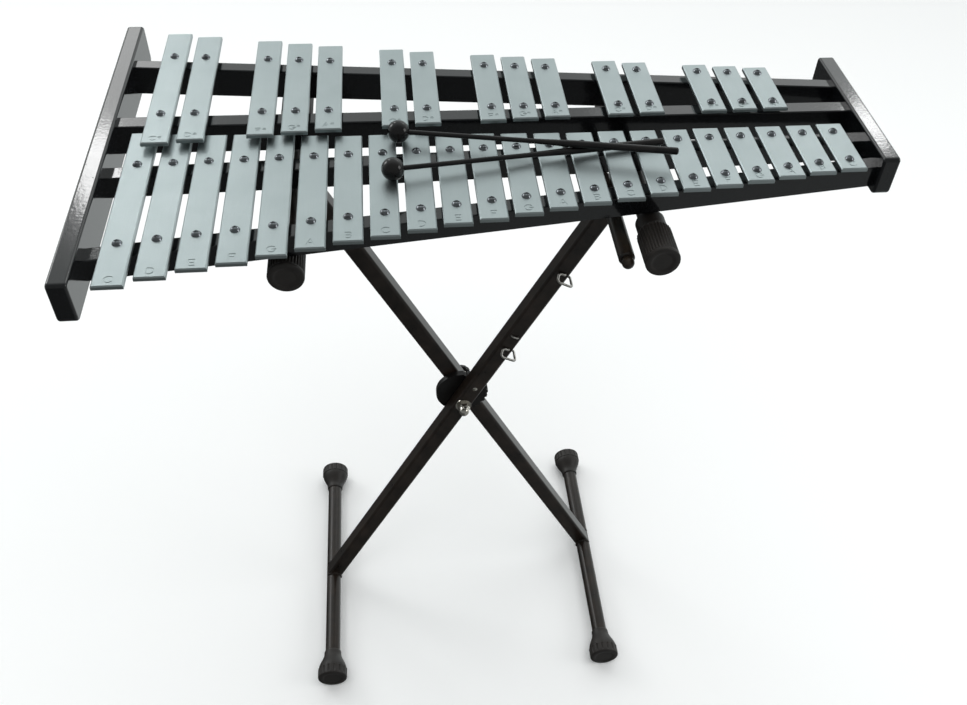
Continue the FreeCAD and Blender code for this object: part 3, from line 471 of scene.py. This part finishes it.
# ---------------------------------------------------------------- the stand
@dataclass
class StandMetal:
    """Tubes, discs, fasteners and the nylon knob of the stand."""

    def finish(self) -> None:
        """Dress every part of the stand but its rubber."""
        metal = {
            Shade.TUBE: ["leg_a", "leg_b", "arm_a", "arm_b", "left_foot_tube", "right_foot_tube"],
            Shade.DISC: ["clutch_disc_front", "clutch_disc_rear"],
            Shade.NICKEL: ["pivot_bolt", "pivot_washers", "acorn_nut", "leg_b_rivet"],
            Shade.WIRE: ["wire_clips"],
            Shade.ROD: ["accessory_rod"],
            Shade.KNOB: ["clutch_knob"],
        }
        for shade, nodes in metal.items():
            dress(nodes, shade.build())


@dataclass
class RubberSleeves:
    """Ribbed rubber sleeves that the instrument's rails rest on, one at each end of both arms.

    Each sleeve is a closed shell turned about the arm: an end disc inside a raised rim, a plain lip, a
    ribbed barrel and, at the front, a plain collar. The radius of the barrel at an angle is the root
    radius plus the rib height times a rounded cosine.
    """

    ribs: int = 34
    rib_height_mm: float = 0.9
    columns_per_rib: int = 10
    bore_mm: float = 10.3
    end_thickness_mm: float = 3.0
    collar_mm: float = 14.1
    barrel_front_mm: float = 42.0
    collar_length_mm: float = 18.0
    barrel_rear_mm: float = 80.0
    crest_sharpness: float = 0.7
    profile_step_mm: float = 2.0

    def shell(self, centre: Vector, radius: float, end: float, inward: float, barrel_mm: float,
              collar_length_mm: float) -> np.ndarray:
        """Return the grid of one sleeve.

        Args:
            centre: a point on the arm's axis.
            radius: the sleeve's outer radius.
            end: y of the closed end.
            inward: 1 when the sleeve runs towards +Y from its closed end, otherwise -1.
            barrel_mm: length of the ribbed barrel.
            collar_length_mm: length of the plain collar, or 0 for none.

        Returns:
            Points of shape (rows, columns, 3).
        """
        rim = radius / MM
        root = rim - self.rib_height_mm
        outline = [
            (0.9, 0.5), (0.9, 9.6), (0.35, 10.6), (0.0, 11.4), (0.0, 13.2), (0.35, rim - 0.9),
            (1.0, rim - 0.25), (1.9, rim), (3.0, rim), (3.6, rim - 0.3), (4.0, root - 0.2), (4.6, root),
            (barrel_mm - 2.4, root),
            (barrel_mm - 0.8, root - 0.3), (barrel_mm, root - 1.1),
        ]
        if collar_length_mm:
            total = barrel_mm + collar_length_mm
            outline += [(barrel_mm + 0.4, self.collar_mm + 0.4), (barrel_mm + 1.0, self.collar_mm),
                        (total - 1.0, self.collar_mm), (total - 0.3, self.collar_mm - 0.3),
                        (total, self.collar_mm - 0.9)]
        else:
            total = barrel_mm
            outline += [(total, self.bore_mm + 0.9)]
        outline += [(total, self.bore_mm), (self.end_thickness_mm, self.bore_mm),
                    (self.end_thickness_mm, 0.5)]
        profile = along_profile(outline, self.profile_step_mm)
        turn = np.linspace(0.0, 2.0 * np.pi, self.ribs * self.columns_per_rib, endpoint=False)
        crest = (0.5 + 0.5 * np.cos(self.ribs * turn)) ** self.crest_sharpness
        distance, ring = profile[:, :1], profile[:, 1:]
        outside = ring > self.collar_mm + 0.5
        barrel = smoothstep(4.0, 5.2, distance)
        barrel = barrel * (1.0 - smoothstep(barrel_mm - 2.2, barrel_mm - 0.9, distance))
        reach = ring + outside * barrel * self.rib_height_mm * crest
        return turned(centre, end, inward, distance, reach, turn)

    def build(self) -> None:
        """Build the sleeves of both arms in place of the plain ones."""
        for node, body in (("arm_a_sleeves", "arm_sleeves"), ("arm_b_sleeves", "front_leg")):
            low, high = corners(node)
            centre = (low + high) / 2
            radius = (high.x - low.x) / 2
            front = self.shell(centre, radius, low.y, 1.0, self.barrel_front_mm, self.collar_length_mm)
            rear = self.shell(centre, radius, high.y, -1.0, self.barrel_rear_mm, 0.0)
            piece = rings_to_mesh(f"moulded_{node}", [front, rear])
            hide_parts(node)
            place(piece, body, Shade.RUBBER.build())


@dataclass
class FootCaps:
    """Moulded rubber caps on the ends of both foot tubes.

    Each cap is a closed shell turned about the tube: a dished end, a thick ring with rounded grooves, a
    flare that follows a smooth step from the ring down to the collar, and the collar. The radius of the
    ring at an angle is its crest radius less the groove depth times a narrow bell at each groove.
    """

    grooves: int = 16
    groove_depth_mm: float = 1.3
    groove_sharpness: float = 5.0
    columns_per_groove: int = 20
    ring_mm: float = 13.0
    flare_mm: float = 22.0
    shoulder_mm: float = 0.8
    collar_length_mm: float = 5.0
    collar_mm: float = 11.6
    bore_mm: float = 10.0
    end_thickness_mm: float = 3.5
    flare_steps: int = 18
    profile_step_mm: float = 1.5

    def shell(self, centre: Vector, radius: float, end: float, inward: float) -> np.ndarray:
        """Return the grid of one cap.

        Args:
            centre: a point on the tube's axis.
            radius: the cap's outer radius.
            end: y of the closed end.
            inward: 1 when the cap runs towards +Y from its closed end, otherwise -1.

        Returns:
            Points of shape (rows, columns, 3).
        """
        rim = radius / MM
        total = self.ring_mm + self.flare_mm + self.collar_length_mm
        step = np.linspace(0.0, 1.0, self.flare_steps)
        shoulder = rim - self.shoulder_mm
        fall = shoulder + (self.collar_mm - shoulder) * smoothstep(0.0, 1.0, step)
        flare = list(zip(self.ring_mm + 0.6 + self.flare_mm * step, fall))
        outline = [
            (0.7, 0.5), (0.7, rim - 7.5), (0.25, rim - 6.6), (0.0, rim - 5.8), (0.0, rim - 3.0),
            (0.3, rim - 1.6), (0.9, rim - 0.45), (1.9, rim - 0.08), (2.6, rim), (self.ring_mm, rim),
            *flare,
            (total - 1.2, self.collar_mm - 0.2), (total - 0.3, self.collar_mm - 0.6),
            (total, self.collar_mm - 1.0), (total, self.bore_mm), (self.end_thickness_mm, self.bore_mm),
            (self.end_thickness_mm, 0.5),
        ]
        profile = along_profile(outline, self.profile_step_mm)
        turn = np.linspace(0.0, 2.0 * np.pi, self.grooves * self.columns_per_groove, endpoint=False)
        bell = (0.5 - 0.5 * np.cos(self.grooves * turn)) ** self.groove_sharpness
        distance, ring = profile[:, :1], profile[:, 1:]
        outside = ring > self.collar_mm + 1.0
        zone = smoothstep(1.6, 3.6, distance)
        zone = zone * (1.0 - smoothstep(self.ring_mm - 1.2, self.ring_mm + 0.4, distance))
        reach = ring - outside * zone * self.groove_depth_mm * bell
        return turned(centre, end, inward, distance, reach, turn)

    def build(self) -> None:
        """Build the caps of both feet in place of the plain ones."""
        for node, body in (("left_foot_caps", "front_leg"), ("right_foot_caps", "right_foot")):
            low, high = corners(node)
            centre = (low + high) / 2
            radius = (high.z - low.z) / 2
            shells = [self.shell(centre, radius, low.y, 1.0), self.shell(centre, radius, high.y, -1.0)]
            piece = rings_to_mesh(f"moulded_{node}", shells)
            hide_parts(node)
            place(piece, body, Shade.RUBBER.build())


@dataclass
class WeldBeads:
    """Fillet welds where each square leg meets a round tube, on both side faces of the leg.

    A bead's centre line is the half circle in which the leg's side face meets the tube. Its section is
    a circle whose radius swells and shrinks along the line, as a weld's ripples do, and tapers to the
    ends.
    """

    bead_mm: float = 1.7
    ripple_mm: float = 0.28
    ripples: int = 13
    rows: int = 79
    columns: int = 14
    taper_power: int = 8
    thinnest: float = 0.02

    def bead(self, tube: Vector, along: Vector, side: float) -> np.ndarray:
        """Return the grid of one bead.

        Args:
            tube: the point where the leg's axis crosses the tube's axis.
            along: unit vector from the tube along the leg.
            side: y of the leg's side face, measured from the tube point.

        Returns:
            Points of shape (rows, columns, 3).
        """
        radius = abs(side)
        swing = np.linspace(-0.5 * np.pi, 0.5 * np.pi, self.rows)[:, None]
        across = Vector((along.z, 0.0, -along.x))
        outward = (np.cos(swing)[..., None] * np.array(along)
                   + np.sin(swing)[..., None] * np.array(across))
        turn = np.linspace(0.0, 2.0 * np.pi, self.columns, endpoint=False)[None, :]
        swell = self.bead_mm + self.ripple_mm * np.sin(self.ripples * 2.0 * swing)
        taper = np.sqrt(np.clip(1.0 - (swing / (0.5 * np.pi)) ** self.taper_power, self.thinnest, 1.0))
        section = swell * taper * MM
        sideways = np.array((0.0, 1.0, 0.0))
        core = np.array(tube) + outward * radius + sideways * side
        outwards, sidewards = section * np.cos(turn), section * np.sin(turn)
        return core + (outwards[..., None] * outward + sidewards[..., None] * sideways)

    def build(self) -> None:
        """Build the beads at both ends of both legs."""
        joints = (("leg_a", "arm_a", "rear_leg"), ("leg_a", "right_foot_tube", "rear_leg"),
                  ("leg_b", "arm_b", "front_leg"), ("leg_b", "left_foot_tube", "front_leg"))
        for leg, tube, body in joints:
            low, high = corners(leg)
            leg_centre = (low + high) / 2
            tube_low, tube_high = corners(tube)
            tube_centre = (tube_low + tube_high) / 2
            meeting = Vector((tube_centre.x, leg_centre.y, tube_centre.z))
            along = (leg_centre - meeting).normalized()
            half = (high.y - low.y) / 2
            beads = [self.bead(meeting, along, side) for side in (-half, half)]
            piece = rings_to_mesh(f"weld_{leg}_{tube}", beads)
            place(piece, body, Shade.TUBE.build())


# ---------------------------------------------------------------- the studio
@dataclass(frozen=True)
class SoftPanel:
    """A soft rectangular light; its radiance is how bright its face is, in the sky's units."""

    name: str
    position: tuple[float, float, float]
    target: tuple[float, float, float]
    width: float
    height: float
    radiance: float
    mirrored: bool = True

    def hang(self) -> None:
        """Hang the light, facing its target."""
        lamp = bpy.data.lights.new(self.name, "AREA")
        lamp.shape = "RECTANGLE"
        lamp.size, lamp.size_y = self.width, self.height
        lamp.energy = self.radiance * math.pi * self.width * self.height
        thing = bpy.data.objects.new(self.name, lamp)
        bpy.context.scene.collection.objects.link(thing)
        thing.visible_glossy = self.mirrored
        aim = (Vector(self.target) - Vector(self.position)).to_track_quat("-Z", "Y")
        thing.matrix_world = Matrix.Translation(self.position) @ aim.to_matrix().to_4x4()


LEFT_BLOCK, RIGHT_BLOCK, MIDDLE = (-0.36, 0.0, 0.77), (0.36, -0.04, 0.77), (0.0, 0.0, 0.4)

# The windows and glows show in the lacquer of the end blocks; the softboxes and ceiling light the stand.
PANELS = (
    SoftPanel("window_left", (-1.44, 3.1, 2.96), LEFT_BLOCK, 0.22, 0.4, 8.25),
    SoftPanel("window_right", (2.13, 2.99, 2.73), RIGHT_BLOCK, 0.22, 0.16, 11.0),
    SoftPanel("glow_left", (-1.38, 3.4, 2.78), LEFT_BLOCK, 0.62, 0.95, 1.9),
    SoftPanel("glow_right", (1.9, 3.0, 2.9), RIGHT_BLOCK, 2.2, 1.3, 0.5),
    SoftPanel("softbox_left", (-2.6, 2.0, 2.1), MIDDLE, 1.1, 1.1, 4.0),
    SoftPanel("softbox_right", (2.9, -0.6, 1.9), MIDDLE, 1.4, 1.4, 2.4),
    SoftPanel("ceiling", (0.0, -0.4, 4.5), MIDDLE, 5.0, 5.0, 1.65, mirrored=False),
)


@dataclass
class Studio:
    """Pale floor, soft light and the camera."""

    floor_half: float = 12.0
    floor_colour: str = "#ffffff"
    floor_roughness: float = 0.9
    back_sky: float = 0.85
    front_sky: float = 0.22
    ground_glow: float = 0.08
    backdrop: float = 1.0
    sky_tint: tuple[float, float, float, float] = (0.95, 1.0, 0.995, 1.0)
    lens_mm: float = 36.77
    sensor_mm: float = 36.0
    shift: tuple[float, float] = (-0.0176, 0.0092)
    heading_deg: float = -8.05
    tilt_deg: float = 44.20
    roll_deg: float = 2.89
    camera_place: tuple[float, float, float] = (-0.1011, -0.8202, 1.2876)

    def floor(self) -> None:
        """Lay the floor. It lights the object but isn't mirrored in it, so black gloss stays deep."""
        half = self.floor_half
        square = [(-half, -half, 0), (half, -half, 0), (half, half, 0), (-half, half, 0)]
        mesh = bpy.data.meshes.new("floor")
        mesh.from_pydata(square, [], [(0, 1, 2, 3)])
        thing = bpy.data.objects.new("floor", mesh)
        bpy.context.scene.collection.objects.link(thing)
        thing.visible_glossy = False
        material = bpy.data.materials.new("pale_floor")
        material.use_nodes = True
        shader = material.node_tree.nodes["Principled BSDF"]
        shader.inputs["Base Color"].default_value = linear_colour(self.floor_colour)
        shader.inputs["Roughness"].default_value = self.floor_roughness
        shader.inputs["Specular IOR Level"].default_value = 0.0
        mesh.materials.append(material)

    def sky(self) -> None:
        """Make the sky and the backdrop.

        The sky is bright behind the instrument and dim on the player's side. Below the horizon it is
        dark but for the back right, which stands for the lit ground there. The backdrop is pale.
        """
        world = bpy.data.worlds.new("soft_sky")
        world.use_nodes = True
        tree = world.node_tree
        direction = add_node(tree, "ShaderNodeSeparateXYZ",
                             {0: add_node(tree, "ShaderNodeTexCoord").outputs["Generated"]})
        towards_back = add_node(tree, "ShaderNodeMapRange",
                                {"Value": direction.outputs["Y"], "From Min": -0.3, "From Max": 0.7,
                                 "To Min": self.front_sky, "To Max": self.back_sky},
                                interpolation_type="SMOOTHSTEP")
        towards_right = add_node(tree, "ShaderNodeMapRange",
                                 {"Value": direction.outputs["X"], "From Min": -0.1, "From Max": 0.45},
                                 interpolation_type="SMOOTHSTEP")
        below = add_node(tree, "ShaderNodeMath",
                         {0: towards_back.outputs[0], 1: towards_right.outputs[0]}, operation="MULTIPLY")
        ground = add_node(tree, "ShaderNodeMath", {0: below.outputs[0], 1: self.ground_glow},
                          operation="ADD")
        above = add_node(tree, "ShaderNodeMapRange",
                         {"Value": direction.outputs["Z"], "From Min": -0.2, "From Max": 0.1},
                         interpolation_type="SMOOTHSTEP")
        strength = add_node(tree, "ShaderNodeMix", {0: above.outputs[0], 2: ground.outputs[0],
                                                    3: towards_back.outputs[0]})
        seen = add_node(tree, "ShaderNodeLightPath").outputs["Is Camera Ray"]
        shown = add_node(tree, "ShaderNodeMix", {0: seen, 2: strength.outputs[0], 3: self.backdrop})
        background = tree.nodes["Background"]
        background.inputs[0].default_value = self.sky_tint
        tree.links.new(shown.outputs[0], background.inputs[1])
        bpy.context.scene.world = world

    def light(self) -> None:
        """Light the studio with the sky, two windows behind the instrument and soft panels."""
        self.sky()
        for panel in PANELS:
            panel.hang()

    def camera(self) -> None:
        """Set the camera."""
        lens = bpy.data.cameras.new("camera")
        lens.lens = self.lens_mm
        lens.sensor_width = self.sensor_mm
        lens.shift_x, lens.shift_y = self.shift
        thing = bpy.data.objects.new("camera", lens)
        turn = (Matrix.Rotation(math.radians(self.heading_deg), 4, "Z")
                @ Matrix.Rotation(math.radians(self.tilt_deg), 4, "X")
                @ Matrix.Rotation(math.radians(self.roll_deg), 4, "Z"))
        thing.matrix_world = Matrix.Translation(self.camera_place) @ turn
        bpy.context.scene.collection.objects.link(thing)
        bpy.context.scene.camera = thing
        bpy.context.scene.view_settings.view_transform = "Standard"


def main() -> None:
    """Build and dress everything in order."""
    logging.basicConfig(level=logging.INFO, format="%(name)s: %(message)s")
    studio = Studio()
    studio.camera()
    studio.floor()
    studio.light()
    Instrument().finish()
    Mallets().finish()
    StandMetal().finish()
    RubberSleeves().build()
    FootCaps().build()
    WeldBeads().build()


if __name__ == "__main__":
    main()
